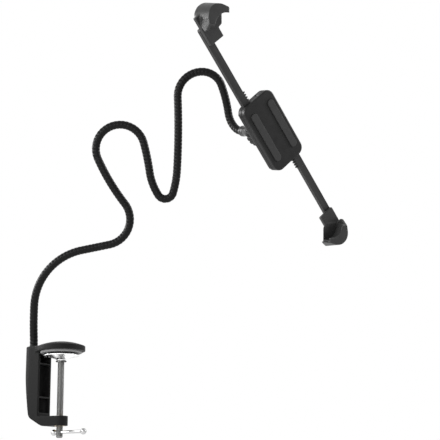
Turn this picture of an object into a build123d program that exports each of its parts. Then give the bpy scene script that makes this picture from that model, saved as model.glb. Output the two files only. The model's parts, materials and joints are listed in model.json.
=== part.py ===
from build123d import *
import os
from math import atan2, cos, degrees, pi, radians, sin, sqrt, tan

# Flexible desk holder: a screw clamp for a desk edge, a bending arm and a two-claw cradle.
# Millimetres, +Z up. The origin is the middle of the soft pad's underside, where the upper jaw
# rests on the desk top, and it lies on the clamp screw's axis. +X runs from the clamp's spine
# into the desk.

# Clearances
running_gap = 0.05
fixed_gap = 0.02
sliding_gap = 0.25

# Clamp: upper jaw and its soft pad
jaw_radius = 27.0
jaw_underside = 2.0
jaw_rim_thickness = 5.7
jaw_crown = 11.0
pad_radius = 23.5
pad_thickness = 2.6
pad_edge_radius = 0.65

# Clamp: spine, a channel open towards the desk
spine_width = 25.0
spine_back = -44.6
spine_front = -21.5
spine_top = 9.3
spine_corner_radius = 11.0
spine_top_radius = 3.0
spine_taper = 10.2
spine_taper_radius = 60.0
spine_wall = 2.8
neck_top = 8.4
neck_reach = 19.0
rib_thickness = 2.0
upper_rib = -10.6
lower_rib = -48.5
channel_top = -1.0
channel_floor = -65.5

# Clamp: lower jaw
lower_jaw_top = -70.0
lower_jaw_bottom = -81.0
nose_radius = 9.0
nose_edge_radius = 1.0
heel_height = -70.7
heel_reach = -17.0
heel_radius = 9.0
insert_radius = 6.0

# Clamp screw, its thrust washer, pressure pad and tommy bar
screw_radius = 3.8
screw_end = -94.0
screw_chamfer = 1.2
press_face = -2.1
dish_radius = 20.0
dish_rim_thickness = 1.2
dish_collar_radius = 5.2
dish_cone_base = -7.2
dish_collar_end = -8.2
pad_ball_height = -6.3
pad_ball_radius = 3.0
pad_mouth_radius = 2.5
screw_neck_radius = 1.9
washer_radius = 6.0
washer_thickness = 1.0
washer_gap = 0.55
tommy_radius = 1.75
tommy_ball_radius = 3.4
tommy_height = -88.0
tommy_length = 38.6
tommy_overlap = 2.0

# Arm socket in the spine, and the screw that holds the arm there
socket_x = -38.2
socket_floor = -8.0
socket_boss_radius = 8.5
ferrule_radius = 4.95
ferrule_floor = 1.5
ferrule_proud = 0.8
set_screw_radius = 2.0
set_screw_length = 4.2
set_screw_height = -5.0
set_screw_key = 1.0
set_screw_reach = 9.5

# Arm: ribbed tube that bends at a row of ball knuckles
tube_crest_radius = 4.6
tube_valley_radius = 3.95
rib_pitch = 4.1
crest_start = 0.25
crest_end = 0.75
knuckle_count = 10
knuckle_spacing = 64.8
knuckle_ball_radius = 3.3
knuckle_stem_radius = 2.0
knuckle_rim = 1.2
knuckle_space = 3.0
# Length of each stretch, how far it bends in degrees, and the side it bends to: 0 is in the
# arm's own plane, 90 is towards the viewer
arm_bends = [
    (18.9, 0, 0),
    (12.0, 17.3, 90),
    (35.4, -4.4, 0),
    (90.8, -75.2, 0),
    (32.5, 0.4, 0),
    (60.3, 115.8, 0),
    (59.5, -13.8, 0),
    (92.1, -189.1, 0),
    (33.7, -6.6, 0),
    (28.9, 24.5, 0),
    (21.3, 130.8, 0),
    (27.6, 13.3, 0),
    (82.7, 5.4, 0),
    (43.6, -89.3, 0),
    (30.1, -73.0, 21.6),
    (33.2, 17.2, 151.2),
    (34.7, 90.5, 74.6),
    (14.5, 0, 0),
]
arm_facing = -65.0

# Ball joint between the arm and the cradle
end_ferrule_radius = 6.2
end_ferrule_cup = 14.0
end_ferrule_floor = 6.0
end_ferrule_chamfer = 0.8
stud_thread_radius = 2.5
stud_neck_radius = 3.5
stud_neck_length = 15.0
ball_radius = 8.5
seat_thickness = 0.95
seat_opening = 64.0
housing_radius = 13.0
housing_rim = 5.0
ring_radius = 17.0
ring_length = 12.0
ring_lip = 1.2
ring_lip_radius = 10.0
ring_groove_radius = 1.1
ring_groove_count = 18

# Cradle: its place on the ball, and the hub's two shells
ball_to_device = 26.0
cradle_roll = 10.7
device_height = 248.6
device_width = 179.5
device_corner_radius = 18.0
hub_length = 84.0
hub_width = 46.0
hub_corner_radius = 9.0
hub_front = -1.0
hub_split = -7.5
hub_back = -14.0
hub_edge_radius = 1.5
hub_pad_length = 62.0
hub_pad_width = 9.0
hub_pad_recess = 0.8
hub_pad_offset = 13.5

# Cradle: arms, rack and pinion
arm_thickness = 4.7
arm_front = -5.3
arm_outer_edge = 16.0
module = 1.0
pinion_teeth = 12
pressure_angle = 20.0
rack_addendum = 0.65
rack_dedendum = 1.25
tooth_backlash = 0.16
rack_margin = 8.0
arm_tail = 42.0
arm_tip_margin = 4.0
arm_corner_radius = 2.0
claw_travel_in = 48.0
claw_travel_out = 22.0
axle_radius = 2.0
axle_seat = 1.8

# Cradle: corner claws
# The hood round a corner is drawn at its back, where it is widest, and its walls lean in towards
# the front. Each leg is longest halfway up and slants back from there to both sides.
claw_back = 9.5
claw_plate_back = 5.0
claw_pocket_depth = 11.4
claw_lip_thickness = 2.6
claw_lip_reach = 3.0
claw_lean = 8.0
claw_wall = 8.9
claw_side_wall = 8.6
claw_shoulder = 12.0
claw_side_shoulder = 9.0
claw_tip_wall = 4.2
claw_side_tip_wall = 6.0
claw_outer_radius = 16.0
claw_shoulder_radius = 12.0
claw_leg_height = 5.0
claw_leg = 27.0
claw_leg_front = 20.0
claw_leg_back = 8.0
claw_side_leg = 25.0
claw_side_leg_front = 16.0
claw_side_leg_back = 6.0
claw_inner_corner = 9.0
claw_step = 13.4
claw_neck_length = 34.0
claw_neck_width = 20.0
liner_thickness = 1.2
liner_height = 9.6
liner_leg = 20.0
liner_side_leg = 18.2

# Fasteners and the lock
small_screw_radius = 1.5
small_screw_head_radius = 2.8
small_screw_head = 1.8
small_screw_key_depth = 0.9
hub_screw_x = 35.0
hub_screw_y = 19.4
hub_screw_tip = -3.5
claw_screw_spacing = 10.0
claw_screw_setback = 6.0
claw_screw_tip = 2.8
knob_x = -30.0
knob_radius = 8.0
knob_height = 10.0
knob_lift = 1.5
knob_groove_radius = 1.0
knob_groove_count = 10
lock_stem_radius = 3.0
shoe_radius = 4.2
shoe_thickness = 2.0
shoe_gap = 0.15

os.makedirs("parts", exist_ok=True)


def finish(piece, label):
    """Name a finished piece and write it."""
    piece.part.label = label
    export_step(piece.part, "parts/" + label + ".step")


def level(height):
    """Horizontal plane at a height."""
    return Plane.XY.offset(height)


# Arm centreline

arm_start = Plane(
    origin=(socket_x, 0, socket_floor),
    x_dir=(cos(radians(arm_facing)), sin(radians(arm_facing)), 0),
    z_dir=(0, 0, 1),
)


def arm_plane(distance):
    """Plane across the arm at a distance along it: Z runs along the arm and X faces the viewer."""
    origin = arm_start.origin
    along = arm_start.z_dir
    facing = arm_start.x_dir
    remaining = distance
    for length, bend, side in arm_bends:
        run = min(remaining, length)
        if bend == 0:
            origin = origin + along * run
        else:
            pivot = facing * cos(radians(side)) + along.cross(facing) * sin(radians(side))
            radius = length / radians(bend)
            angle = bend * run / length
            inward = pivot.cross(along)
            origin = origin + along * (radius * sin(radians(angle)))
            origin = origin + inward * (radius * (1 - cos(radians(angle))))
            turning = Axis((0, 0, 0), pivot)
            along = along.rotate(turning, angle)
            facing = facing.rotate(turning, angle)
        remaining = remaining - run
    origin = origin + along * remaining
    return Plane(origin=origin, x_dir=facing, z_dir=along)


arm_length = sum(length for length, bend, side in arm_bends)
socket_depth = spine_top - socket_floor
arm_end = arm_plane(arm_length)

# Cradle plane: the back of what is held lies on it, X runs along the cradle's diagonal and Z
# faces the user

cradle_origin = arm_end.origin + arm_end.z_dir * (
    end_ferrule_floor + stud_neck_length + ball_to_device
)
upright = Vector(0, 0, 1) - arm_end.z_dir * arm_end.z_dir.Z
corner_angle = degrees(atan2(device_width, device_height))
cradle = Plane(
    origin=cradle_origin,
    x_dir=upright.rotate(Axis((0, 0, 0), arm_end.z_dir), cradle_roll + corner_angle),
    z_dir=arm_end.z_dir,
)
half_diagonal = sqrt(device_width**2 + device_height**2) / 2
ball_plane = cradle.offset(-ball_to_device)


# Clamp body

def back_at(height):
    """Where the spine's back lies at a height: upright down to the upper rib, then leaning in."""
    return spine_back + spine_taper * max(0, upper_rib - height) / (upper_rib - heel_height)


jaw_side_top = jaw_underside + jaw_rim_thickness
jaw_top = jaw_underside + jaw_crown
neck_half_width = sqrt(jaw_radius**2 - neck_reach**2)

with BuildPart() as clamp_body:
    # the channel's and the lower jaw's plan, trimmed to the clamp's side view
    with BuildSketch(level(lower_jaw_bottom)):
        with BuildLine():
            Polyline(
                (spine_front, -spine_width / 2),
                (spine_back, -spine_width / 2),
                (spine_back, spine_width / 2),
                (spine_front, spine_width / 2),
                close=True,
            )
        make_face()
        fillet(vertices().group_by(Axis.X)[0], spine_corner_radius)
    extrude(amount=spine_top - lower_jaw_bottom)
    with BuildSketch(level(lower_jaw_bottom)):
        Circle(nose_radius)
        with Locations((spine_front - spine_corner_radius / 2, 0)):
            Rectangle(spine_corner_radius, spine_width)
        make_hull()
    extrude(amount=lower_jaw_top - lower_jaw_bottom)
    with BuildSketch(Plane.XZ.offset(-spine_width)):
        with BuildLine():
            FilletPolyline(
                (spine_front, spine_top),
                (spine_back, spine_top),
                (spine_back, upper_rib),
                (back_at(heel_height), heel_height),
                (heel_reach, lower_jaw_bottom),
                (jaw_radius, lower_jaw_bottom),
                (jaw_radius, spine_top),
                radius=[
                    spine_top_radius,
                    spine_taper_radius,
                    heel_radius,
                    heel_radius,
                    nose_edge_radius,
                ],
            )
            Line((jaw_radius, spine_top), (spine_front, spine_top))
        make_face()
    extrude(amount=2 * spine_width, mode=Mode.INTERSECT)
    # upper jaw, a low dome, and the neck that joins it to the spine
    with BuildSketch(Plane.XZ):
        with BuildLine():
            Line((0, jaw_underside), (jaw_radius, jaw_underside))
            Line((jaw_radius, jaw_underside), (jaw_radius, jaw_side_top))
            TangentArc((0, jaw_top), (jaw_radius, jaw_side_top), tangent=(1, 0))
            Line((0, jaw_top), (0, jaw_underside))
        make_face()
    revolve(axis=Axis.Z)
    with BuildSketch(level(jaw_underside)):
        Polygon(
            (spine_front - spine_corner_radius / 2, -spine_width / 2),
            (-neck_reach, -neck_half_width),
            (-neck_reach, neck_half_width),
            (spine_front - spine_corner_radius / 2, spine_width / 2),
            align=None,
        )
    extrude(amount=neck_top - jaw_underside)
    # recess for the soft pad, which also notches the spine's top plate
    with BuildSketch(level(channel_top)):
        Circle(pad_radius + fixed_gap)
    extrude(amount=pad_thickness + fixed_gap - channel_top, mode=Mode.SUBTRACT)
    # three pockets between the ribs, the top one round the arm socket's boss
    pocket_edges = [
        (channel_top, upper_rib + rib_thickness / 2),
        (upper_rib - rib_thickness / 2, lower_rib + rib_thickness / 2),
        (lower_rib - rib_thickness / 2, channel_floor),
    ]
    for pocket_top, pocket_floor in pocket_edges:
        pocket_back = back_at(pocket_floor) + spine_wall
        pocket_depth = spine_front - pocket_back
        with BuildSketch(level(pocket_floor)):
            with Locations((spine_front - pocket_depth / 2, 0)):
                Rectangle(pocket_depth, spine_width - 2 * spine_wall)
            if pocket_top == channel_top:
                with Locations((socket_x, 0)):
                    Circle(socket_boss_radius, mode=Mode.SUBTRACT)
                with Locations((spine_back / 2 + socket_x / 2 - spine_wall, 0)):
                    Rectangle(
                        socket_x - spine_back + 2 * spine_wall, spine_width, mode=Mode.SUBTRACT
                    )
            else:
                fillet(vertices().group_by(Axis.X)[0], spine_corner_radius - spine_wall)
        extrude(amount=pocket_top - pocket_floor, mode=Mode.SUBTRACT)
    # arm socket, its set screw's hole and the seat of the threaded insert
    with BuildSketch(level(socket_floor)):
        with Locations((socket_x, 0)):
            Circle(ferrule_radius + fixed_gap)
    extrude(amount=socket_depth, mode=Mode.SUBTRACT)
    with BuildSketch(Plane(origin=(socket_x, 0, set_screw_height), z_dir=(1, 0, 0))):
        Circle(set_screw_radius + fixed_gap)
    extrude(amount=set_screw_reach, mode=Mode.SUBTRACT)
    with BuildSketch(level(lower_jaw_bottom)):
        Circle(insert_radius + fixed_gap)
    extrude(amount=lower_jaw_top - lower_jaw_bottom, mode=Mode.SUBTRACT)
finish(clamp_body, "clamp_body")

with BuildPart() as jaw_pad:
    with BuildSketch():
        Circle(pad_radius)
    extrude(amount=pad_thickness)
    fillet(jaw_pad.edges().group_by(Axis.Z)[0], pad_edge_radius)
finish(jaw_pad, "jaw_rubber_pad")

with BuildPart() as thread_insert:
    with BuildSketch(level(lower_jaw_bottom)):
        Circle(insert_radius)
        Circle(screw_radius + running_gap, mode=Mode.SUBTRACT)
    extrude(amount=lower_jaw_top - lower_jaw_bottom)
finish(thread_insert, "thread_insert")

with BuildPart() as arm_ferrule:
    with BuildSketch(level(socket_floor)):
        with Locations((socket_x, 0)):
            Circle(ferrule_radius)
    extrude(amount=socket_depth + ferrule_proud)
    with BuildSketch(level(socket_floor + ferrule_floor)):
        with Locations((socket_x, 0)):
            Circle(tube_valley_radius + fixed_gap)
    extrude(amount=socket_depth + ferrule_proud, mode=Mode.SUBTRACT)
finish(arm_ferrule, "arm_base_ferrule")

set_screw_plane = Plane(
    origin=(socket_x + ferrule_radius + fixed_gap, 0, set_screw_height), z_dir=(1, 0, 0)
)
with BuildPart() as set_screw:
    with BuildSketch(set_screw_plane):
        Circle(set_screw_radius)
    extrude(amount=set_screw_length)
    with BuildSketch(set_screw_plane.offset(set_screw_length / 2)):
        RegularPolygon(set_screw_key, 6)
    extrude(amount=set_screw_length, mode=Mode.SUBTRACT)
finish(set_screw, "arm_set_screw")

# Pressure pad, washer and screw


with BuildPart() as pressure_pad:
    with BuildSketch(Plane.XZ):
        with BuildLine():
            Polyline(
                (0, press_face),
                (dish_radius, press_face),
                (dish_radius, press_face - dish_rim_thickness),
                (dish_collar_radius, dish_cone_base),
                (dish_collar_radius, dish_collar_end),
                (0, dish_collar_end),
                close=True,
            )
        make_face()
    revolve(axis=Axis.Z)
    with Locations((0, 0, pad_ball_height)):
        Sphere(pad_ball_radius + running_gap, mode=Mode.SUBTRACT)
    with BuildSketch(level(dish_collar_end)):
        Circle(pad_mouth_radius)
    extrude(amount=pad_ball_height - dish_collar_end, mode=Mode.SUBTRACT)
finish(pressure_pad, "pressure_pad")

washer_top = dish_collar_end - washer_gap
washer_bottom = washer_top - washer_thickness
with BuildPart() as thrust_washer:
    with BuildSketch(level(washer_bottom)):
        Circle(washer_radius)
        Circle(screw_neck_radius + running_gap, mode=Mode.SUBTRACT)
    extrude(amount=washer_thickness)
finish(thrust_washer, "thrust_washer")

shank_top = washer_bottom - running_gap
with BuildPart() as clamp_screw:
    with BuildSketch(level(screw_end)):
        Circle(screw_radius)
    extrude(amount=shank_top - screw_end)
    chamfer(clamp_screw.edges().filter_by(GeomType.CIRCLE), screw_chamfer)
    with BuildSketch(level(shank_top)):
        Circle(screw_neck_radius)
    extrude(amount=pad_ball_height - shank_top)
    with Locations((0, 0, pad_ball_height)):
        Sphere(pad_ball_radius)
    with BuildSketch(Plane.YZ.offset(-screw_radius)):
        with Locations((0, tommy_height)):
            Circle(tommy_radius + running_gap)
    extrude(amount=2 * screw_radius, mode=Mode.SUBTRACT)
finish(clamp_screw, "clamp_screw")

# Tommy bar, at rest slid as far towards the desk as it goes

tommy_left = -(screw_radius + tommy_ball_radius + running_gap)
tommy_plane = Plane(origin=(tommy_left, 0, tommy_height), z_dir=(1, 0, 0))
with BuildPart() as tommy_bar:
    with BuildSketch(tommy_plane.offset(-tommy_overlap)):
        Circle(tommy_radius)
    extrude(amount=tommy_length + 2 * tommy_overlap)
finish(tommy_bar, "tommy_bar")

with BuildPart() as tommy_balls:
    with Locations(tommy_plane, tommy_plane.offset(tommy_length)):
        Sphere(tommy_ball_radius)
    with BuildSketch(tommy_plane.offset(-tommy_overlap)):
        Circle(tommy_radius + fixed_gap)
    extrude(amount=tommy_length + 2 * tommy_overlap, mode=Mode.SUBTRACT)
finish(tommy_balls, "tommy_bar_balls")

# Arm sections, each with a ball at its upper end and a socket at its lower end

knuckles = [socket_depth + knuckle_spacing * (k + 1) for k in range(knuckle_count)]


def arm_section(label, plain_start, ribs_start, ribs_end, plain_end, socket_at, ball_at):
    """One stretch of ribbed tube, with plain ends where it sits in a ferrule."""
    rib_count = round((ribs_end - ribs_start) / rib_pitch)
    pitch = (ribs_end - ribs_start) / rib_count
    with BuildPart() as section:
        for rib in range(rib_count):
            start = ribs_start + rib * pitch
            with BuildSketch(arm_plane(start)):
                Circle(tube_valley_radius)
            with BuildSketch(arm_plane(start + crest_start * pitch)):
                Circle(tube_crest_radius)
            with BuildSketch(arm_plane(start + crest_end * pitch)):
                Circle(tube_crest_radius)
        with BuildSketch(arm_plane(ribs_end)):
            Circle(tube_valley_radius)
        loft(ruled=True)
        if plain_start is not None:
            with BuildSketch(arm_plane(plain_start)):
                Circle(tube_valley_radius)
            extrude(amount=ribs_start - plain_start)
        if plain_end is not None:
            with BuildSketch(arm_plane(ribs_end)):
                Circle(tube_valley_radius)
            extrude(amount=plain_end - ribs_end)
        if ball_at is not None:
            with BuildSketch(arm_plane(ball_at).offset(-knuckle_space - knuckle_rim)):
                Circle(knuckle_stem_radius)
            extrude(amount=knuckle_space + knuckle_rim)
            with Locations(arm_plane(ball_at)):
                Sphere(knuckle_ball_radius)
        if socket_at is not None:
            with Locations(arm_plane(socket_at)):
                Sphere(knuckle_ball_radius + running_gap, mode=Mode.SUBTRACT)
    finish(section, label)
    return rib_count


total_ribs = arm_section(
    "gooseneck_01",
    ferrule_floor,
    socket_depth + ferrule_proud,
    knuckles[0] - knuckle_space,
    None,
    None,
    knuckles[0],
)
for k in range(knuckle_count - 1):
    total_ribs = total_ribs + arm_section(
        "gooseneck_%02d" % (k + 2),
        None,
        knuckles[k] - knuckle_rim,
        knuckles[k + 1] - knuckle_space,
        None,
        knuckles[k],
        knuckles[k + 1],
    )
total_ribs = total_ribs + arm_section(
    "gooseneck_%02d" % (knuckle_count + 1),
    None,
    knuckles[-1] - knuckle_rim,
    arm_length - end_ferrule_cup,
    arm_length,
    knuckles[-1],
    None,
)
print("arm length", arm_length, "ribs", total_ribs)

# Ball joint

with BuildPart() as end_ferrule:
    with BuildSketch(arm_end.offset(-end_ferrule_cup)):
        Circle(end_ferrule_radius)
    extrude(amount=end_ferrule_cup + end_ferrule_floor)
    chamfer(end_ferrule.edges().filter_by(GeomType.CIRCLE), end_ferrule_chamfer)
    with BuildSketch(arm_end.offset(-end_ferrule_cup)):
        Circle(tube_valley_radius + fixed_gap)
    extrude(amount=end_ferrule_cup, mode=Mode.SUBTRACT)
    with BuildSketch(arm_end):
        Circle(stud_thread_radius + fixed_gap)
    extrude(amount=end_ferrule_floor, mode=Mode.SUBTRACT)
finish(end_ferrule, "arm_end_ferrule")

with BuildPart() as ball_stud:
    with BuildSketch(arm_end):
        Circle(stud_thread_radius)
    extrude(amount=end_ferrule_floor)
    with BuildSketch(arm_end.offset(end_ferrule_floor)):
        Circle(stud_neck_radius)
    extrude(amount=stud_neck_length)
    with Locations(ball_plane):
        Sphere(ball_radius)
finish(ball_stud, "ball_stud")


def ball_seat(label, inner_radius):
    """A shell round the ball, open where the stud leaves it."""
    outer_radius = inner_radius + seat_thickness
    opening = radians(seat_opening)
    with BuildPart() as seat:
        with Locations(ball_plane):
            Sphere(outer_radius)
            Sphere(inner_radius, mode=Mode.SUBTRACT)
        with BuildSketch(ball_plane.offset(-outer_radius)):
            Circle(outer_radius)
        extrude(amount=outer_radius * (1 - cos(opening)), mode=Mode.SUBTRACT)
    finish(seat, label)
    return outer_radius


inner_seat_outside = ball_seat("ball_seat_inner", ball_radius + running_gap)
outer_seat_outside = ball_seat("ball_seat_outer", inner_seat_outside + running_gap)
housing_bore = outer_seat_outside + running_gap

# Cradle hub: two shells screwed together round the arms and the pinion

channel_inner = pinion_teeth * module / 2 - rack_addendum - sliding_gap
channel_outer = arm_outer_edge + sliding_gap
channel_front = arm_front + sliding_gap
channel_back = arm_front - arm_thickness - sliding_gap
pinion_pocket = pinion_teeth * module / 2 + module + sliding_gap
hub_screw_places = [(x, y) for x in (-hub_screw_x, hub_screw_x) for y in (-hub_screw_y, hub_screw_y)]
knob_y = -(pinion_teeth * module / 2 + rack_dedendum + arm_outer_edge) / 2


def hub_outline():
    """The hub's rounded outline, drawn in the sketch that calls it."""
    RectangleRounded(hub_length, hub_width, hub_corner_radius)


def arm_channels():
    """The two channels that the arms slide in, and the pinion's place between them."""
    for side in (-1, 1):
        with Locations((0, side * (channel_inner + channel_outer) / 2)):
            Rectangle(hub_length, channel_outer - channel_inner)
    Circle(pinion_pocket)


with BuildPart() as hub_rear:
    with BuildSketch(cradle.offset(hub_back)):
        hub_outline()
    extrude(amount=hub_split - hub_back)
    fillet(hub_rear.faces().sort_by(Axis(cradle.origin, cradle.z_dir))[0].edges(), hub_edge_radius)
    # ball housing
    with BuildSketch(ball_plane.offset(-housing_rim)):
        Circle(housing_radius)
    extrude(amount=ball_to_device + housing_rim + hub_back)
    with BuildSketch(cradle.offset(channel_back)):
        arm_channels()
    extrude(amount=hub_split - channel_back, mode=Mode.SUBTRACT)
    with Locations(ball_plane):
        Sphere(housing_bore, mode=Mode.SUBTRACT)
    with BuildSketch(cradle.offset(channel_back - axle_seat)):
        Circle(axle_radius + fixed_gap)
    extrude(amount=axle_seat, mode=Mode.SUBTRACT)
    # screw holes with their heads' seats
    with BuildSketch(cradle.offset(hub_back)):
        with Locations(*hub_screw_places):
            Circle(small_screw_radius + fixed_gap)
    extrude(amount=hub_split - hub_back, mode=Mode.SUBTRACT)
    with BuildSketch(cradle.offset(hub_back)):
        with Locations(*hub_screw_places):
            Circle(small_screw_head_radius + sliding_gap)
    extrude(amount=small_screw_head, mode=Mode.SUBTRACT)
    # the lock's stem and the pocket of its shoe
    with BuildSketch(cradle.offset(hub_back)):
        with Locations((knob_x, knob_y)):
            Circle(lock_stem_radius + running_gap)
    extrude(amount=channel_back - hub_back, mode=Mode.SUBTRACT)
    with BuildSketch(cradle.offset(arm_front - arm_thickness - shoe_gap - shoe_thickness)):
        with Locations((knob_x, knob_y)):
            Circle(shoe_radius + fixed_gap)
    extrude(amount=shoe_thickness, mode=Mode.SUBTRACT)
finish(hub_rear, "hub_rear_shell")

with BuildPart() as hub_cover:
    with BuildSketch(cradle.offset(hub_split)):
        hub_outline()
    extrude(amount=hub_front - hub_split)
    fillet(hub_cover.faces().sort_by(Axis(cradle.origin, cradle.z_dir))[-1].edges(), hub_edge_radius)
    with BuildSketch(cradle.offset(hub_split)):
        arm_channels()
    extrude(amount=channel_front - hub_split, mode=Mode.SUBTRACT)
    with BuildSketch(cradle.offset(channel_front)):
        Circle(axle_radius + fixed_gap)
    extrude(amount=axle_seat, mode=Mode.SUBTRACT)
    with BuildSketch(cradle.offset(hub_split)):
        with Locations(*hub_screw_places):
            Circle(small_screw_radius + fixed_gap)
    extrude(amount=hub_screw_tip - hub_split, mode=Mode.SUBTRACT)
    with BuildSketch(cradle.offset(hub_front - hub_pad_recess)):
        with Locations((0, -hub_pad_offset), (0, hub_pad_offset)):
            SlotOverall(hub_pad_length + 2 * fixed_gap, hub_pad_width + 2 * fixed_gap)
    extrude(amount=hub_pad_recess, mode=Mode.SUBTRACT)
finish(hub_cover, "hub_front_shell")

with BuildPart() as hub_pads:
    with BuildSketch(cradle.offset(hub_front - hub_pad_recess)):
        with Locations((0, -hub_pad_offset), (0, hub_pad_offset)):
            SlotOverall(hub_pad_length, hub_pad_width)
    extrude(amount=hub_pad_recess - hub_front)
finish(hub_pads, "hub_rubber_pads")

with BuildPart() as hub_screws:
    with BuildSketch(cradle.offset(hub_back)):
        with Locations(*hub_screw_places):
            Circle(small_screw_head_radius)
    extrude(amount=small_screw_head)
    with BuildSketch(cradle.offset(hub_back)):
        with Locations(*hub_screw_places):
            Circle(small_screw_radius)
    extrude(amount=hub_screw_tip - hub_back)
    with BuildSketch(cradle.offset(hub_back)):
        with Locations(*hub_screw_places):
            RegularPolygon(small_screw_radius, 6)
    extrude(amount=small_screw_key_depth, mode=Mode.SUBTRACT)
finish(hub_screws, "hub_screws")

with BuildPart() as lock_ring:
    with BuildSketch(ball_plane.offset(-housing_rim - running_gap - ring_lip)):
        Circle(ring_radius)
        with PolarLocations(ring_radius, ring_groove_count):
            Circle(ring_groove_radius, mode=Mode.SUBTRACT)
    extrude(amount=ring_length)
    with BuildSketch(ball_plane.offset(-housing_rim - running_gap)):
        Circle(housing_radius + running_gap)
    extrude(amount=ring_length, mode=Mode.SUBTRACT)
    with BuildSketch(ball_plane.offset(-housing_rim - running_gap - ring_lip)):
        Circle(ring_lip_radius)
    extrude(amount=ring_lip, mode=Mode.SUBTRACT)
finish(lock_ring, "lock_ring")

# Pinion and axle

pitch_radius = pinion_teeth * module / 2
base_radius = pitch_radius * cos(radians(pressure_angle))
tip_radius = pitch_radius + module
root_radius = pitch_radius - rack_addendum - sliding_gap
flank_steps = 6


def involute_point(radius, side):
    """A point of a tooth's flank at a radius, for the tooth that points along Y."""
    half_tooth = pi / (2 * pinion_teeth) - tooth_backlash / (4 * pitch_radius)
    inv_pitch = tan(radians(pressure_angle)) - radians(pressure_angle)
    if radius > base_radius:
        rise = sqrt((radius / base_radius) ** 2 - 1)
        inv_here = rise - atan2(rise, 1)
    else:
        inv_here = 0
    angle = half_tooth + inv_pitch - inv_here
    return (side * radius * sin(angle), radius * cos(angle))


flank_radii = [base_radius + (tip_radius - base_radius) * i / flank_steps for i in range(flank_steps + 1)]
with BuildPart() as pinion:
    with BuildSketch(cradle.offset(arm_front - arm_thickness)):
        Circle(root_radius)
        with PolarLocations(0, pinion_teeth):
            Polygon(
                (0, 0),
                *[involute_point(radius, 1) for radius in [root_radius] + flank_radii],
                *[involute_point(radius, -1) for radius in reversed([root_radius] + flank_radii)],
                align=None,
            )
        Circle(axle_radius + running_gap, mode=Mode.SUBTRACT)
    extrude(amount=arm_thickness)
finish(pinion, "pinion")

with BuildPart() as pinion_axle:
    with BuildSketch(cradle.offset(channel_back - axle_seat)):
        Circle(axle_radius)
    extrude(amount=channel_front + axle_seat - channel_back + axle_seat)
finish(pinion_axle, "pinion_axle")

# Claws and their rack arms. The lower pair is the upper pair turned half round.

tooth_pitch = pi * module
rack_tip = pitch_radius - rack_addendum
rack_root = pitch_radius + rack_dedendum
tip_half = tooth_pitch / 4 - tooth_backlash / 4 - rack_addendum * tan(radians(pressure_angle))
root_half = tooth_pitch / 4 - tooth_backlash / 4 + rack_dedendum * tan(radians(pressure_angle))
first_tooth = round(-(claw_travel_out + rack_margin) / tooth_pitch)
last_tooth = round((claw_travel_in + rack_margin) / tooth_pitch)
arm_screw_place = half_diagonal - claw_neck_length + claw_screw_setback
arm_middle = (rack_root + arm_outer_edge) / 2
arm_width = arm_outer_edge - rack_root
arm_tip = arm_screw_place + claw_screw_spacing + arm_tip_margin


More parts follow.
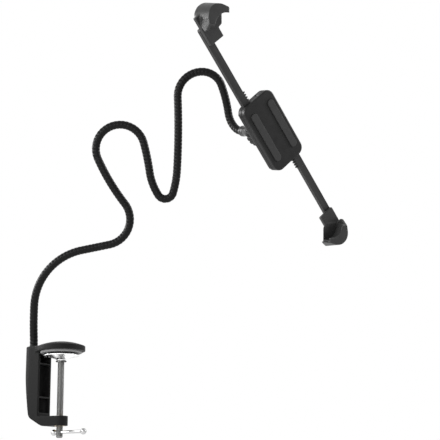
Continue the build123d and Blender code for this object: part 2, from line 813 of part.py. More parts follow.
def claw_side(name, side):
    """The rack arm, claw, liner and screws of one side: 1 is the upper left, -1 the lower right."""
    base = Plane(origin=cradle.origin, x_dir=cradle.x_dir * side, z_dir=cradle.z_dir)
    corner = Plane(
        origin=base.origin + base.x_dir * half_diagonal,
        x_dir=base.x_dir.rotate(Axis((0, 0, 0), base.z_dir), -90 - corner_angle),
        z_dir=base.z_dir,
    )
    screw_places = [(arm_screw_place, arm_middle), (arm_screw_place + claw_screw_spacing, arm_middle)]

    with BuildPart() as rack_arm:
        with BuildSketch(base.offset(arm_front - arm_thickness)):
            with Locations(((arm_tip - arm_tail) / 2, arm_middle)):
                RectangleRounded(arm_tip + arm_tail, arm_width, arm_corner_radius)
            for tooth in range(first_tooth, last_tooth):
                middle = (tooth + 0.5) * tooth_pitch
                Polygon(
                    (middle - root_half, rack_root + module / 4),
                    (middle - root_half, rack_root),
                    (middle - tip_half, rack_tip),
                    (middle + tip_half, rack_tip),
                    (middle + root_half, rack_root),
                    (middle + root_half, rack_root + module / 4),
                    align=None,
                )
            with Locations(*screw_places):
                Circle(small_screw_radius + fixed_gap, mode=Mode.SUBTRACT)
        extrude(amount=arm_thickness)
    finish(rack_arm, "rack_arm_" + name)

    wall_in = liner_thickness + fixed_gap
    lip_back = claw_pocket_depth
    lip_front = lip_back + claw_lip_thickness
    with BuildPart() as claw:
        with BuildSketch(corner.offset(-claw_back)):
            with BuildLine():
                FilletPolyline(
                    (-claw_side_tip_wall, -claw_side_leg),
                    (-claw_side_wall, -claw_side_shoulder),
                    (-claw_side_wall, claw_wall),
                    (claw_shoulder, claw_wall),
                    (claw_leg, claw_tip_wall),
                    radius=[claw_shoulder_radius, claw_outer_radius, claw_shoulder_radius],
                )
                Polyline(
                    (claw_leg, claw_tip_wall),
                    (claw_leg, -claw_inner_corner),
                    (claw_inner_corner, -claw_side_leg),
                    (-claw_side_tip_wall, -claw_side_leg),
                )
            make_face()
        extrude(amount=claw_back + lip_front, taper=claw_lean)
        # slants at both legs' ends
        leg_end = Plane(origin=corner.origin, x_dir=corner.x_dir, z_dir=-corner.y_dir)
        side_end = Plane(origin=corner.origin, x_dir=-corner.y_dir, z_dir=-corner.x_dir)
        for end_plane, tip, front, back in (
            (leg_end, claw_leg, claw_leg_front, claw_leg_back),
            (side_end, claw_side_leg, claw_side_leg_front, claw_side_leg_back),
        ):
            with BuildSketch(end_plane.offset(-device_width / 2)):
                Polygon(
                    (back, -claw_back),
                    (tip, claw_leg_height),
                    (front, lip_front),
                    (device_width, lip_front),
                    (device_width, -claw_back),
                    align=None,
                )
            extrude(amount=device_width, mode=Mode.SUBTRACT)
        # step that the arm's end stops short of, and the neck that lies on the arm
        with BuildSketch(base.offset(-claw_back)):
            with Locations((half_diagonal - claw_step - claw_neck_length / 2, 0)):
                Rectangle(claw_neck_length, device_width)
        extrude(amount=claw_back - claw_plate_back, mode=Mode.SUBTRACT)
        with BuildSketch(base.offset(-claw_plate_back)):
            with Locations((half_diagonal - claw_neck_length / 2, arm_outer_edge - claw_neck_width / 2)):
                Rectangle(claw_neck_length, claw_neck_width)
        extrude(amount=claw_plate_back - sliding_gap)
        with BuildSketch(base.offset(arm_front)):
            with Locations((half_diagonal - (claw_neck_length + claw_step) / 2, arm_middle)):
                Rectangle(claw_neck_length - claw_step, arm_width)
        extrude(amount=-arm_front - claw_plate_back)
        # the pocket that takes the held corner, and the opening in front of it
        with BuildSketch(corner):
            with BuildLine():
                FilletPolyline(
                    (-wall_in, -device_height),
                    (-wall_in, wall_in),
                    (device_width, wall_in),
                    radius=device_corner_radius,
                )
                Line((device_width, wall_in), (device_width, -device_height))
                Line((device_width, -device_height), (-wall_in, -device_height))
            make_face()
        extrude(amount=lip_back, mode=Mode.SUBTRACT)
        with BuildSketch(corner.offset(lip_back)):
            with BuildLine():
                FilletPolyline(
                    (claw_lip_reach, -device_height),
                    (claw_lip_reach, -claw_lip_reach),
                    (device_width, -claw_lip_reach),
                    radius=device_corner_radius - claw_lip_reach,
                )
                Line((device_width, -claw_lip_reach), (device_width, -device_height))
                Line((device_width, -device_height), (claw_lip_reach, -device_height))
            make_face()
        extrude(amount=claw_lip_thickness, mode=Mode.SUBTRACT)
        with BuildSketch(base.offset(arm_front)):
            with Locations(*screw_places):
                Circle(small_screw_radius + fixed_gap)
        extrude(amount=claw_screw_tip, mode=Mode.SUBTRACT)
    finish(claw, "claw_" + name)

    with BuildPart() as liner:
        with BuildSketch(corner.offset(running_gap)):
            with BuildLine():
                FilletPolyline(
                    (0, -liner_side_leg),
                    (0, 0),
                    (liner_leg, 0),
                    radius=device_corner_radius - wall_in,
                )
                Line((liner_leg, 0), (liner_leg, liner_thickness))
                FilletPolyline(
                    (liner_leg, liner_thickness),
                    (-liner_thickness, liner_thickness),
                    (-liner_thickness, -liner_side_leg),
                    radius=device_corner_radius - fixed_gap,
                )
                Line((-liner_thickness, -liner_side_leg), (0, -liner_side_leg))
            make_face()
        extrude(amount=liner_height)
    finish(liner, "claw_liner_" + name)

    with BuildPart() as claw_screws:
        with BuildSketch(base.offset(arm_front - arm_thickness - small_screw_head)):
            with Locations(*screw_places):
                Circle(small_screw_head_radius)
        extrude(amount=small_screw_head)
        with BuildSketch(base.offset(arm_front - arm_thickness)):
            with Locations(*screw_places):
                Circle(small_screw_radius)
        extrude(amount=arm_thickness + claw_screw_tip)
        with BuildSketch(base.offset(arm_front - arm_thickness - small_screw_head)):
            with Locations(*screw_places):
                RegularPolygon(small_screw_radius, 6)
        extrude(amount=small_screw_key_depth, mode=Mode.SUBTRACT)
    finish(claw_screws, "claw_screws_" + name)


claw_side("upper", 1)
claw_side("lower", -1)

# Lock: a knob whose stem presses a shoe on the lower arm

arm_back = arm_front - arm_thickness
shoe_back = arm_back - shoe_gap - shoe_thickness
with BuildPart() as lock_shoe:
    with BuildSketch(cradle.offset(shoe_back)):
        with Locations((knob_x, knob_y)):
            Circle(shoe_radius)
    extrude(amount=shoe_thickness)
finish(lock_shoe, "lock_shoe")

with BuildPart() as lock_knob:
    with BuildSketch(cradle.offset(hub_back - knob_lift - knob_height)):
        with Locations((knob_x, knob_y)):
            Circle(knob_radius)
            with PolarLocations(knob_radius, knob_groove_count):
                Circle(knob_groove_radius, mode=Mode.SUBTRACT)
            Circle(lock_stem_radius + fixed_gap, mode=Mode.SUBTRACT)
    extrude(amount=knob_height)
finish(lock_knob, "lock_knob")

with BuildPart() as lock_stem:
    with BuildSketch(cradle.offset(hub_back - knob_lift - knob_height)):
        with Locations((knob_x, knob_y)):
            Circle(lock_stem_radius)
    extrude(amount=shoe_back - running_gap - hub_back + knob_lift + knob_height)
finish(lock_stem, "lock_stem")
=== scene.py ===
import json
from math import atan2, cos, pi, radians, sin

import bmesh
import bpy
from mathutils import Matrix, Quaternion, Vector


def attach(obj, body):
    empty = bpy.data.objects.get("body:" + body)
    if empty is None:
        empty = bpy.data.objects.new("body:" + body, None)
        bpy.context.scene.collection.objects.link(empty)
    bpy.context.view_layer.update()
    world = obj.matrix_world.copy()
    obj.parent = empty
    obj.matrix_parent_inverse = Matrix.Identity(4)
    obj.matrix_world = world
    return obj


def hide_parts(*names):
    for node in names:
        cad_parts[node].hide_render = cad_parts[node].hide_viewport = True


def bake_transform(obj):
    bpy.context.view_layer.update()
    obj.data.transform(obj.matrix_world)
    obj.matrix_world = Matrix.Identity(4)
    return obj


# Flexible desk holder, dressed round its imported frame. Metres, +Z up, origin under the upper jaw.
# Turned profiles and the screw are in millimetres, and mm turns those into metres.

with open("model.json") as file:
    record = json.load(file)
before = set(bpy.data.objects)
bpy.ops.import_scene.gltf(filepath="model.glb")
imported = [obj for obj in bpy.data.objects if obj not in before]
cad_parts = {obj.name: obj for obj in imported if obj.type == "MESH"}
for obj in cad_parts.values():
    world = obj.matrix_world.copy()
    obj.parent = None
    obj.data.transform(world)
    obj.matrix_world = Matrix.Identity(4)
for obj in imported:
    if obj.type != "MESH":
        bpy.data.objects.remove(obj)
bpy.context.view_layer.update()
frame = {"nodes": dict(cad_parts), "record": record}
nodes = frame["nodes"]
record = frame["record"]

mm = 0.001
up = Vector((0, 0, 1))
down = Vector((0, 0, -1))


# Camera, at the photograph's place

turn = radians(25)
pitch = radians(15)
roll = radians(1)
camera_place = Vector((0.6457, -0.9520, -0.1508))
camera_lens = 81.82
camera_reach = 20

forward = Vector((-sin(turn) * cos(pitch), cos(turn) * cos(pitch), sin(pitch)))
level_right = Vector((cos(turn), sin(turn), 0))
level_up = level_right.cross(forward)
camera_right = level_right * cos(roll) - level_up * sin(roll)
camera_up = level_up * cos(roll) + level_right * sin(roll)

camera = bpy.data.objects.new("camera", bpy.data.cameras.new("camera"))
bpy.context.scene.collection.objects.link(camera)
camera.matrix_world = Matrix.Translation(camera_place) @ Matrix(
    (camera_right, camera_up, -forward)
).transposed().to_4x4()
camera.data.lens = camera_lens
camera.data.clip_end = camera_reach
bpy.context.scene.camera = camera


# Arm's centreline: the same stretches as in the part's source. Each has a length in millimetres,
# a bend in degrees and the side that it bends to: 0 degrees is across the arm's viewer-facing
# side, and 90 is towards it.

arm_bends = [
    (18.9, 0, 0),
    (12.0, 17.3, 90),
    (35.4, -4.4, 0),
    (90.8, -75.2, 0),
    (32.5, 0.4, 0),
    (60.3, 115.8, 0),
    (59.5, -13.8, 0),
    (92.1, -189.1, 0),
    (33.7, -6.6, 0),
    (28.9, 24.5, 0),
    (21.3, 130.8, 0),
    (27.6, 13.3, 0),
    (82.7, 5.4, 0),
    (43.6, -89.3, 0),
    (30.1, -73.0, 21.6),
    (33.2, 17.2, 151.2),
    (34.7, 90.5, 74.6),
    (14.5, 0, 0),
]
arm_facing = radians(-65)
socket_place = Vector((-38.2, 0, -8)) * mm
socket_depth = 17.3 * mm
ferrule_floor = 1.5 * mm
ferrule_mouth = 18.1 * mm
end_ferrule_cup = 14 * mm
knuckle_spacing = 64.8 * mm
knuckle_count = 10
arm_length = sum(length for length, bend, side in arm_bends) * mm


def arm_frame(distance):
    """Place, direction and viewer-facing side of the arm's centreline at a distance along it."""
    place = socket_place.copy()
    along = up.copy()
    facing = Vector((cos(arm_facing), sin(arm_facing), 0))
    remaining = distance
    for length, bend, side in arm_bends:
        length = length * mm
        run = min(remaining, length)
        if bend == 0:
            place = place + along * run
        else:
            pivot = facing * cos(radians(side)) + along.cross(facing) * sin(radians(side))
            radius = length / radians(bend)
            angle = radians(bend) * run / length
            place = place + along * radius * sin(angle)
            place = place + pivot.cross(along) * radius * (1 - cos(angle))
            turning = Quaternion(pivot, angle)
            along = turning @ along
            facing = turning @ facing
        remaining = remaining - run
    return place + along * remaining, along, facing


arm_tip, arm_tip_along = arm_frame(arm_length)[:2]

# Cradle's own axes: X along its diagonal towards the upper left claw, Z towards the user

cradle_offset = 47 * mm
cradle_roll = radians(10.7)
device_width = 179.5
device_height = 248.6
cradle_z = arm_tip_along
cradle_place = arm_tip + cradle_z * cradle_offset
upright = (up - cradle_z * cradle_z.z).normalized()
diagonal_angle = cradle_roll + atan2(device_width, device_height)
cradle_x = Quaternion(cradle_z, diagonal_angle) @ upright
cradle_y = cradle_z.cross(cradle_x)
cradle_axes = Matrix.Translation(cradle_place) @ Matrix(
    (cradle_x, cradle_y, cradle_z)
).transposed().to_4x4()


# Materials

# Places of a Mix node's two colours among its inputs, and of its colour among its outputs
mix_first = 6
mix_second = 7
mix_colour = 2

# What a noise mostly keeps between
noise_low = 0.3
noise_high = 0.7

# Pointiness at which an edge starts to be worn and is fully worn, and how much paler it gets
worn_start = 0.52
worn_full = 0.62
worn_gain = 2.2
worn_lift = 0.02


def blank_material(name):
    """A node material with only its shader, and the shader."""
    material = bpy.data.materials.new(name)
    material.use_nodes = True
    shader = next(n for n in material.node_tree.nodes if n.type == "BSDF_PRINCIPLED")
    return material, shader


def add_node(material, kind, **values):
    """A new node with its properties and its inputs' values set."""
    node = material.node_tree.nodes.new(kind)
    for key, value in values.items():
        if hasattr(node, key):
            setattr(node, key, value)
        else:
            node.inputs[key.replace("_", " ")].default_value = value
    return node


def join(material, source, socket, target, target_socket):
    """Links one node's output to another node's input."""
    material.node_tree.links.new(source.outputs[socket], target.inputs[target_socket])


def grey(value, tint=(1, 1, 1)):
    """A colour with alpha from a grey level and a tint."""
    return (value * tint[0], value * tint[1], value * tint[2], 1)


def shade(colour, gain, lift=0.0):
    """A colour made darker or paler, and no paler than white."""
    return [min(1, channel * gain + lift) for channel in colour[:3]] + [1]


def surface(
    name,
    colour,
    roughness,
    patch,
    grain,
    grain_depth,
    spread=0.12,
    roughness_spread=0.06,
    metallic=0.0,
    stretch=(1, 1, 1),
    wear=0.0,
    coat=0.0,
    specular=0.35,
    edge_tint=1.0,
):
    """A procedural finish: patchy colour and roughness, a fine grain and paler worn edges.

    patch, grain and grain_depth are sizes in millimetres. stretch scales the grain's
    coordinates, for drawn or turned metal. An edge_tint under 1 darkens metal seen at a low angle.
    """
    material, shader = blank_material(name)
    shader.inputs["Metallic"].default_value = metallic
    shader.inputs["Coat Weight"].default_value = coat
    shader.inputs["Specular IOR Level"].default_value = specular
    shader.inputs["Specular Tint"].default_value = grey(edge_tint)
    place = add_node(material, "ShaderNodeTexCoord")
    patches = add_node(
        material, "ShaderNodeTexNoise", Scale=1 / (patch * mm), Detail=4.0, Roughness=0.6
    )
    join(material, place, "Object", patches, "Vector")
    blend = add_node(material, "ShaderNodeMix", data_type="RGBA")
    blend.inputs[mix_first].default_value = shade(colour, 1 - spread)
    blend.inputs[mix_second].default_value = shade(colour, 1 + spread)
    join(material, patches, 0, blend, 0)
    dull = add_node(material, "ShaderNodeMapRange", From_Min=noise_low, From_Max=noise_high)
    dull.inputs["To Min"].default_value = roughness - roughness_spread
    dull.inputs["To Max"].default_value = roughness + roughness_spread
    join(material, patches, 0, dull, 0)
    join(material, dull, 0, shader, "Roughness")
    spaced = add_node(material, "ShaderNodeMapping")
    spaced.inputs["Scale"].default_value = stretch
    join(material, place, "Object", spaced, "Vector")
    grains = add_node(
        material, "ShaderNodeTexNoise", Scale=1 / (grain * mm), Detail=3.0, Roughness=0.55
    )
    join(material, spaced, 0, grains, "Vector")
    bump = add_node(material, "ShaderNodeBump", Strength=1.0, Distance=grain_depth * mm)
    join(material, grains, 0, bump, "Height")
    join(material, bump, 0, shader, "Normal")
    if wear == 0:
        join(material, blend, mix_colour, shader, "Base Color")
        return material
    edges = add_node(material, "ShaderNodeNewGeometry")
    rubbed = add_node(
        material, "ShaderNodeMapRange", From_Min=worn_start, From_Max=worn_full, To_Max=wear
    )
    join(material, edges, "Pointiness", rubbed, 0)
    paler = add_node(material, "ShaderNodeMix", data_type="RGBA")
    paler.inputs[mix_second].default_value = shade(colour, worn_gain, worn_lift)
    join(material, rubbed, 0, paler, 0)
    join(material, blend, mix_colour, paler, mix_first)
    join(material, paler, mix_colour, shader, "Base Color")
    return material


turned = (0.2, 0.2, 3)
finish_values = {
    "clamp_plastic": dict(
        colour=grey(0.007),
        roughness=0.46,
        roughness_spread=0.07,
        patch=9,
        grain=0.45,
        grain_depth=0.02,
        wear=0.5,
        specular=0.07,
    ),
    "pad_rubber": dict(
        colour=grey(0.16), spread=0.1, roughness=0.75, patch=6, grain=0.35, grain_depth=0.03
    ),
    # Painted shade: the screw's zinc has a darker grey and a darker edge tint than zinc plate has,
    # standing in for dark surroundings that it would reflect.
    "zinc_steel": dict(
        colour=grey(0.19, (1, 1, 0.985)),
        spread=0.1,
        roughness=0.34,
        patch=5,
        grain=0.5,
        grain_depth=0.006,
        metallic=1.0,
        stretch=turned,
        edge_tint=0.15,
    ),
    "insert_brass": dict(
        colour=(0.72, 0.54, 0.28, 1),
        spread=0.08,
        roughness=0.3,
        patch=5,
        grain=0.4,
        grain_depth=0.006,
        metallic=1.0,
        stretch=turned,
    ),
    # Painted shade: the T-bar's chrome has a darker grey and a darker edge tint than the plating
    # has, standing in for dark surroundings that it would reflect.
    "chrome": dict(
        colour=grey(0.4),
        spread=0.06,
        roughness=0.16,
        roughness_spread=0.05,
        patch=8,
        grain=0.6,
        grain_depth=0.002,
        metallic=1.0,
        edge_tint=0.6,
    ),
    # Painted highlight: a paler copy of the same chrome for the dish, standing in for the bright
    # reflection on it.
    "chrome_painted_bright": dict(
        colour=grey(0.85),
        spread=0.05,
        roughness=0.3,
        roughness_spread=0.05,
        patch=8,
        grain=0.6,
        grain_depth=0.003,
        metallic=1.0,
    ),
    "arm_sleeve": dict(
        colour=grey(0.006),
        spread=0.15,
        roughness=0.3,
        roughness_spread=0.05,
        patch=7,
        grain=0.3,
        grain_depth=0.012,
        wear=0.6,
        specular=0.07,
    ),
    "black_steel": dict(
        colour=grey(0.015),
        spread=0.1,
        roughness=0.3,
        patch=5,
        grain=0.3,
        grain_depth=0.006,
        coat=0.3,
        wear=0.6,
    ),
    "cradle_plastic": dict(
        colour=grey(0.01),
        roughness=0.42,
        roughness_spread=0.07,
        patch=9,
        grain=0.4,
        grain_depth=0.018,
        wear=0.5,
        specular=0.16,
    ),
    "seat_nylon": dict(
        colour=(0.72, 0.72, 0.69, 1),
        spread=0.05,
        roughness=0.45,
        roughness_spread=0.05,
        patch=6,
        grain=0.5,
        grain_depth=0.008,
    ),
    "claw_plastic": dict(
        colour=grey(0.02),
        roughness=0.4,
        patch=8,
        grain=0.4,
        grain_depth=0.005,
        coat=0.08,
        wear=0.4,
        specular=0.2,
    ),
    "claw_rubber": dict(
        colour=grey(0.012), roughness=0.7, patch=5, grain=0.35, grain_depth=0.03
    ),
    "screw_black": dict(
        colour=grey(0.03),
        spread=0.1,
        roughness=0.34,
        patch=3,
        grain=0.25,
        grain_depth=0.006,
        metallic=0.6,
    ),
}
finishes = {name: surface(name, **values) for name, values in finish_values.items()}

for subpart in record["subparts"]:
    node = nodes[subpart["node"]]
    node.data.materials.clear()
    node.data.materials.append(finishes[subpart["material_slot"]])


# Mesh helpers

smoothing_share = 0.5


def new_piece(name, mesh, slot):
    """An object with a mesh and the finish of one of the record's material slots."""
    piece = bpy.data.objects.new(name, mesh)
    bpy.context.scene.collection.objects.link(piece)
    mesh.materials.clear()
    mesh.materials.append(finishes[slot])
    mesh.polygons.foreach_set("material_index", [0] * len(mesh.polygons))
    return piece


def rings_mesh(name, rings):
    """A closed skin over rings of equally many points, with a cap at each end."""
    grid = bmesh.new()
    rows = [[grid.verts.new(point) for point in ring] for ring in rings]
    count = len(rings[0])
    for low, high in zip(rows, rows[1:]):
        for i in range(count):
            j = (i + 1) % count
            grid.faces.new((low[i], low[j], high[j], high[i]))
    grid.faces.new(list(reversed(rows[0])))
    grid.faces.new(rows[-1])
    bmesh.ops.recalc_face_normals(grid, faces=grid.faces)
    for face in grid.faces:
        face.smooth = len(face.verts) == 4
    mesh = bpy.data.meshes.new(name)
    grid.to_mesh(mesh)
    grid.free()
    return mesh


def lathe(name, profile, place, along, slot, segments):
    """A turned piece: profile points are (radius, distance along the axis) in millimetres."""
    side = along.orthogonal().normalized()
    other = along.cross(side)
    rings = []
    for radius, distance in profile:
        centre = place + along * distance * mm
        ring = []
        for i in range(segments):
            angle = 2 * pi * i / segments
            ring.append(centre + (side * cos(angle) + other * sin(angle)) * (radius * mm))
        rings.append(ring)
    return new_piece(name, rings_mesh(name, rings), slot)


def arc_profile(centre, radius, start, end, steps):
    """Points of an arc for a lathe's profile, angles in degrees from the outward direction."""
    points = []
    for i in range(steps + 1):
        angle = radians(start + (end - start) * i / steps)
        points.append((centre[0] + radius * cos(angle), centre[1] + radius * sin(angle)))
    return points


def softened(name, node, slot, axes, voxel, rounding, keep):
    """A copy of a CAD node with its edges rounded as a mould leaves them.

    The copy is remeshed in its own axes at the voxel size in millimetres, smoothed as often as
    rounding says, and thinned out to the share of its faces to keep.
    """
    mesh = nodes[node].data.copy()
    mesh.transform(axes.inverted())
    piece = bpy.data.objects.new(name, mesh)
    bpy.context.scene.collection.objects.link(piece)
    remesh = piece.modifiers.new("remesh", "REMESH")
    remesh.mode = "VOXEL"
    remesh.voxel_size = voxel * mm
    smooth = piece.modifiers.new("smooth", "SMOOTH")
    smooth.factor = smoothing_share
    smooth.iterations = rounding
    thin = piece.modifiers.new("thin", "DECIMATE")
    thin.ratio = keep
    bpy.context.view_layer.update()
    shaped = bpy.data.meshes.new_from_object(
        piece.evaluated_get(bpy.context.evaluated_depsgraph_get())
    )
    bpy.data.objects.remove(piece)
    shaped.transform(axes)
    shaped.polygons.foreach_set("use_smooth", [True] * len(shaped.polygons))
    shaped.name = name
    return new_piece(name, shaped, slot)


# Arm: a wound, ribbed sleeve. Each piece runs from the middle of one rigid length to the middle
# of the next, across the joint between the two bodies.

rib_pitch = 4.1 * mm
crest_radius = 4.65 * mm
groove_radius = 4.25 * mm
core_radius = 3.9 * mm
rib_fullness = 0.55
sleeve_segments = 28
samples_per_rib = 9
knuckles = [socket_depth + knuckle_spacing * (k + 1) for k in range(knuckle_count)]
blend_reach = 20 * mm


def sleeve_radius(distance, angle):
    """Radius of the ribbed sleeve: rounded crests with narrow grooves, wound as a helix."""
    if distance < ferrule_mouth or distance > arm_length - end_ferrule_cup:
        return core_radius
    phase = pi * distance / rib_pitch + angle / 2
    return groove_radius + (crest_radius - groove_radius) * abs(sin(phase)) ** rib_fullness


def sleeve(name, start, end):
    """One stretch of the sleeve."""
    steps = round((end - start) / rib_pitch * samples_per_rib)
    rings = []
    for step in range(steps + 1):
        distance = start + (end - start) * step / steps
        place, along, facing = arm_frame(distance)
        side = along.cross(facing)
        ring = []
        for i in range(sleeve_segments):
            angle = 2 * pi * i / sleeve_segments
            outward = facing * cos(angle) + side * sin(angle)
            ring.append(place + outward * sleeve_radius(distance, angle))
        rings.append(ring)
    return new_piece(name, rings_mesh(name, rings), "arm_sleeve")


arm_bodies = ["clamp"] + ["arm_%02d" % number for number in range(2, knuckle_count + 2)]
middles = [knuckle - knuckle_spacing / 2 for knuckle in knuckles]
middles.append(knuckles[-1] + knuckle_spacing / 2)

base_sleeve = sleeve("sleeve_base", ferrule_floor, middles[0])
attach(base_sleeve, "clamp")
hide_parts("gooseneck_01")
for k, knuckle in enumerate(knuckles):
    bending = sleeve("sleeve_bend_%02d" % (k + 1), middles[k], middles[k + 1])
    arm_frame(knuckle - blend_reach)[0]
    arm_frame(knuckle + blend_reach)[0]
    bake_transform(bending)
    if k < knuckle_count - 1:
        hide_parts("gooseneck_%02d" % (k + 2))
end_sleeve = sleeve("sleeve_end", middles[-1], arm_length)
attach(end_sleeve, arm_bodies[-1])
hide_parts("gooseneck_%02d" % (knuckle_count + 1))

# Clamp: its softened moulding. From here on, sizes are in millimetres.

clamp_casting = softened(
    "clamp_casting",
    "clamp_body",
    "clamp_plastic",
    Matrix.Identity(4),
    voxel=0.55,
    rounding=7,
    keep=0.4,
)
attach(clamp_casting, "clamp")
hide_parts("clamp_body")

# A profile that reaches its axis stops this far short of it, so that its cap has an area
axis_dot = 0.1
disc_segments = 96
ferrule_segments = 64
t_bar_segments = 48
screw_axis = Vector((0, 0, 0))

# Soft pad: a flat disc with ring grooves in its lower face. Distances run upwards.

pad_radius = 23.5
pad_thickness = 2.6
pad_rounding = 0.8
pad_grooves = (6.0, 10.0, 14.0, 18.0)
pad_groove_depth = 0.25

soft_pad_profile = [(axis_dot, 0.0)]
for groove in pad_grooves:
    soft_pad_profile += [
        (groove - 2 * pad_groove_depth, 0.0),
        (groove - pad_groove_depth, pad_groove_depth),
        (groove + pad_groove_depth, pad_groove_depth),
        (groove + 2 * pad_groove_depth, 0.0),
    ]
soft_pad_profile += arc_profile(
    (pad_radius - pad_rounding, pad_rounding), pad_rounding, -90, 0, 6
)
soft_pad_profile += [
    (pad_radius, pad_thickness - 0.3),
    (pad_radius - 0.2, pad_thickness - 0.05),
    (axis_dot, pad_thickness),
]
soft_pad = lathe("soft_pad", soft_pad_profile, screw_axis, up, "pad_rubber", disc_segments)
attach(soft_pad, "clamp")
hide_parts("jaw_rubber_pad")

# Dish: a flat face, a round rim, a flared back and a collar round the ball. Distances run
# downwards.

press_face = 2.1
dish_radius = 20.0
dish_rim = 0.65
dish_collar_radius = 5.2
dish_collar_end = 8.2
dish_collar_edge = 0.2
dish_mouth_radius = 2.5
dish_mouth_floor = 7.4

dish_profile = [(axis_dot, press_face), (6.0, press_face + 0.05), (18.6, press_face)]
dish_profile += arc_profile(
    (dish_radius - dish_rim, press_face + dish_rim), dish_rim, -90, 90, 8
)
dish_profile += [
    (17.5, 3.55),
    (14.5, 4.15),
    (11.5, 4.9),
    (9.0, 5.7),
    (7.3, 6.4),
    (6.0, 6.95),
    (5.3, 7.3),
    (dish_collar_radius, 7.6),
    (dish_collar_radius, dish_collar_end - dish_collar_edge),
    (dish_collar_radius - dish_collar_edge, dish_collar_end),
    (dish_mouth_radius + 0.3, dish_collar_end),
    (dish_mouth_radius, dish_collar_end - 0.15),
    (dish_mouth_radius, dish_mouth_floor),
    (axis_dot, dish_mouth_floor),
]
dish = lathe("dish", dish_profile, screw_axis, down, "chrome", disc_segments)
# The dish takes the paler copy of the chrome, a painted bright reflection.
dish.data.materials[0] = finishes["chrome_painted_bright"]
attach(dish, "pressure_pad")
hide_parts("pressure_pad")

# Clamp screw: a chamfered end, the cut thread, a neck and the ball in the dish

thread_crest = 3.8
thread_root = 3.2
thread_pitch = 1.25
thread_start = -92.9
thread_end = -11.0
flank_gain = 1.25
flat_share = 0.1
screw_end = -94.0
end_radius = 2.6
end_chamfer = 0.7
shank_top = -9.8
shoulder_chamfer = 0.6
neck_radius = 1.9
ball_height = -6.3
ball_radius = 3.0
thread_segments = 32
thread_steps = 8


def thread_radius(height, angle):
    """Radius of the cut thread, with its sloping flanks and narrow flats."""
    phase = (height / thread_pitch + angle / (2 * pi)) % 1
    rise = min(1, max(0, flank_gain * abs(2 * phase - 1) - flat_share))
    return thread_root + (thread_crest - thread_root) * rise


def screw_ring(height, plain_radius=None):
    """A ring of points round the screw's axis, of the thread unless a plain radius is given."""
    ring = []
    for i in range(thread_segments):
        angle = 2 * pi * i / thread_segments
        radius = thread_radius(height, angle) if plain_radius is None else plain_radius
        ring.append(Vector((radius * cos(angle), radius * sin(angle), height)) * mm)
    return ring


screw_rings = [
    screw_ring(screw_end, axis_dot),
    screw_ring(screw_end, end_radius),
    screw_ring(screw_end + end_chamfer, thread_root),
]
thread_rings = round((thread_end - thread_start) / thread_pitch * thread_steps)
for step in range(thread_rings + 1):
    screw_rings.append(
        screw_ring(thread_start + (thread_end - thread_start) * step / thread_rings)
    )
screw_rings += [
    screw_ring(shank_top - shoulder_chamfer, thread_root),
    screw_ring(shank_top - 0.05, end_radius),
    screw_ring(shank_top, neck_radius),
]
for radius, rise in arc_profile((0, 0), ball_radius, -50, 88, 10):
    screw_rings.append(screw_ring(ball_height + rise, max(radius, axis_dot)))
# The screw's zinc has its grey painted darker, as painted shade for reflected dark surroundings.
cut_screw = new_piece("cut_screw", rings_mesh("cut_screw", screw_rings), "zinc_steel")
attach(cut_screw, "screw")
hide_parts("clamp_screw")

# T-bar: one turned profile from ball to ball, the second half a mirror of the first

tommy_place = Vector((-7.25, 0, -88)) * mm
tommy_along = Vector((1, 0, 0))
tommy_length = 38.6
tommy_ball = 3.4
tommy_radius = 1.75
stem_angle = 59

t_bar_profile = [(axis_dot, -tommy_ball + 0.12), (1.2, -tommy_ball + 0.14)]
t_bar_profile += arc_profile((0, 0), tommy_ball, -68, stem_angle, 14)
t_bar_profile += [(tommy_radius + 0.25, 3.0), (tommy_radius, 3.4)]
t_bar_profile += [(radius, tommy_length - run) for radius, run in reversed(t_bar_profile)]
# The T-bar takes the chrome with its grey painted darker, as painted shade for reflected dark
# surroundings.
t_bar = lathe("t_bar", t_bar_profile, tommy_place, tommy_along, "chrome", t_bar_segments)
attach(t_bar, "tommy_bar")
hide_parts("tommy_bar", "tommy_bar_balls")

# Ferrule at the arm's lower end. Its bore is closed out of sight, below its mouth.

ferrule_radius = 4.95
ferrule_bore = 3.97
ferrule_length = 18.1
ferrule_bore_floor = 16.5

base_ferrule_profile = [
    (axis_dot, 0.0),
    (ferrule_radius - 0.45, 0.0),
    (ferrule_radius, 0.4),
    (ferrule_radius, ferrule_length - 0.8),
    (ferrule_radius - 0.05, ferrule_length - 0.2),
    (ferrule_radius - 0.35, ferrule_length),
    (ferrule_bore + 0.13, ferrule_length),
    (ferrule_bore, ferrule_length - 0.2),
    (ferrule_bore, ferrule_bore_floor),
    (axis_dot, ferrule_bore_floor),
]
base_ferrule = lathe(
    "base_ferrule", base_ferrule_profile, socket_place, up, "black_steel", ferrule_segments
)
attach(base_ferrule, "clamp")
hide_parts("arm_base_ferrule")

# Ferrule at the arm's upper end, crimped round the arm in two rings

end_ferrule_mouth = 4.4
end_ferrule_radius = 6.2
end_ferrule_length = 20.0
crimps = (3.2, 5.6)
crimp_width = 1.4
crimp_depth = 0.3

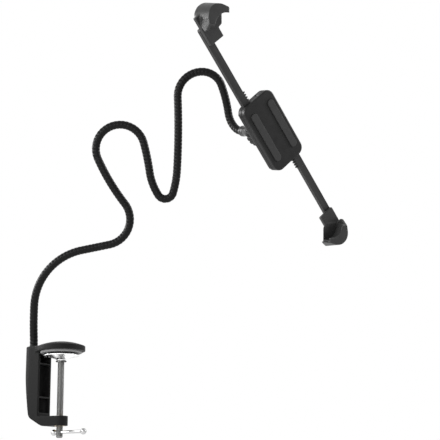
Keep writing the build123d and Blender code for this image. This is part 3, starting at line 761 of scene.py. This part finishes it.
end_ferrule_profile = [
    (end_ferrule_mouth, 0.0),
    (end_ferrule_radius - 0.6, 0.0),
    (end_ferrule_radius - 0.1, 0.35),
    (end_ferrule_radius, 0.9),
]
for crimp in crimps:
    end_ferrule_profile += [
        (end_ferrule_radius, crimp),
        (end_ferrule_radius - crimp_depth, crimp + crimp_depth),
        (end_ferrule_radius - crimp_depth, crimp + crimp_width - crimp_depth),
        (end_ferrule_radius, crimp + crimp_width),
    ]
end_ferrule_profile += [
    (end_ferrule_radius, end_ferrule_length - 1.1),
    (end_ferrule_radius - 0.2, end_ferrule_length - 0.4),
    (end_ferrule_radius - 0.8, end_ferrule_length),
    (axis_dot, end_ferrule_length),
]
end_ferrule_place = arm_frame(arm_length - end_ferrule_cup)[0]
end_ferrule = lathe(
    "end_ferrule",
    end_ferrule_profile,
    end_ferrule_place,
    arm_tip_along,
    "black_steel",
    ferrule_segments,
)
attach(end_ferrule, arm_bodies[-1])
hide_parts("arm_end_ferrule")

# Cradle: softened mouldings in the cradle's own axes. Each row has the piece, its node, slot and
# body, then the voxel size, the rounds of smoothing and the share of its faces to keep.

for name, node, slot, body, voxel, rounding, keep in (
    ("hub_back", "hub_rear_shell", "cradle_plastic", "cradle_hub", 0.5, 6, 0.4),
    ("hub_cover", "hub_front_shell", "cradle_plastic", "cradle_hub", 0.5, 6, 0.4),
    ("hub_pads", "hub_rubber_pads", "claw_rubber", "cradle_hub", 0.35, 8, 0.5),
    ("ring", "lock_ring", "cradle_plastic", "lock_ring", 0.4, 5, 0.6),
    ("knob", "lock_knob", "cradle_plastic", "lock_knob", 0.35, 5, 0.6),
    ("hood_upper", "claw_upper", "claw_plastic", "claw_upper", 0.45, 14, 0.5),
    ("hood_lower", "claw_lower", "claw_plastic", "claw_lower", 0.45, 14, 0.5),
):
    moulding = softened(name, node, slot, cradle_axes, voxel, rounding, keep)
    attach(moulding, body)
    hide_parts(node)

# Lamps, in metres and watts

object_centre = Vector((0.13, 0.0, 0.12))


def lamp(name, right, lift, towards, size, power):
    """A soft square lamp, placed from the object's middle in the camera's directions."""
    data = bpy.data.lights.new(name, "AREA")
    data.shape = "SQUARE"
    data.size = size
    data.energy = power
    light = bpy.data.objects.new(name, data)
    bpy.context.scene.collection.objects.link(light)
    light.location = object_centre + camera_right * right + camera_up * lift - forward * towards
    aim = object_centre - light.location
    light.rotation_mode = "QUATERNION"
    light.rotation_quaternion = aim.to_track_quat("-Z", "Y")


lamp("key", right=-1.3, lift=0.6, towards=0.8, size=0.7, power=18)
lamp("front", right=-0.3, lift=0.4, towards=1.2, size=0.3, power=4)
lamp("rim_left", right=-1.1, lift=0.3, towards=-0.3, size=0.5, power=14)
lamp("rim_right", right=1.2, lift=0.6, towards=-0.4, size=0.5, power=14)

# Floor, in metres

floor_height = -0.32
floor_size = 8.0
floor_level = 0.86
floor_roughness = 0.9
floor_specular = 0.1

floor_mesh = bpy.data.meshes.new("floor")
floor_mesh.from_pydata(
    [
        (-floor_size, -floor_size, floor_height),
        (floor_size, -floor_size, floor_height),
        (floor_size, floor_size, floor_height),
        (-floor_size, floor_size, floor_height),
    ],
    [],
    [(0, 1, 2, 3)],
)
floor = bpy.data.objects.new("floor", floor_mesh)
bpy.context.scene.collection.objects.link(floor)
floor_material, floor_shader = blank_material("floor")
floor_shader.inputs["Base Color"].default_value = grey(floor_level)
floor_shader.inputs["Roughness"].default_value = floor_roughness
floor_shader.inputs["Specular IOR Level"].default_value = floor_specular
floor_mesh.materials.append(floor_material)

# World: white to the camera and in what is shiny or clear, and a little less bright as a light

ambient_level = 0.75
backdrop_level = 1.0
world = bpy.data.worlds.new("studio")
bpy.context.scene.world = world
world.use_nodes = True
tree = world.node_tree
tree.nodes.clear()


def glow(level):
    """A plain white background node."""
    background = tree.nodes.new("ShaderNodeBackground")
    background.inputs["Color"].default_value = grey(1)
    background.inputs["Strength"].default_value = level
    return background


rays = tree.nodes.new("ShaderNodeLightPath")
seen = tree.nodes.new("ShaderNodeMath")
seen.operation = "MAXIMUM"
shown = tree.nodes.new("ShaderNodeMath")
shown.operation = "MAXIMUM"
choose = tree.nodes.new("ShaderNodeMixShader")
output = tree.nodes.new("ShaderNodeOutputWorld")
tree.links.new(rays.outputs["Is Camera Ray"], seen.inputs[0])
tree.links.new(rays.outputs["Is Glossy Ray"], seen.inputs[1])
tree.links.new(seen.outputs[0], shown.inputs[0])
tree.links.new(rays.outputs["Is Transmission Ray"], shown.inputs[1])
tree.links.new(shown.outputs[0], choose.inputs[0])
tree.links.new(glow(ambient_level).outputs[0], choose.inputs[1])
tree.links.new(glow(backdrop_level).outputs[0], choose.inputs[2])
tree.links.new(choose.outputs[0], output.inputs[0])

bpy.context.scene.view_settings.view_transform = "Standard"
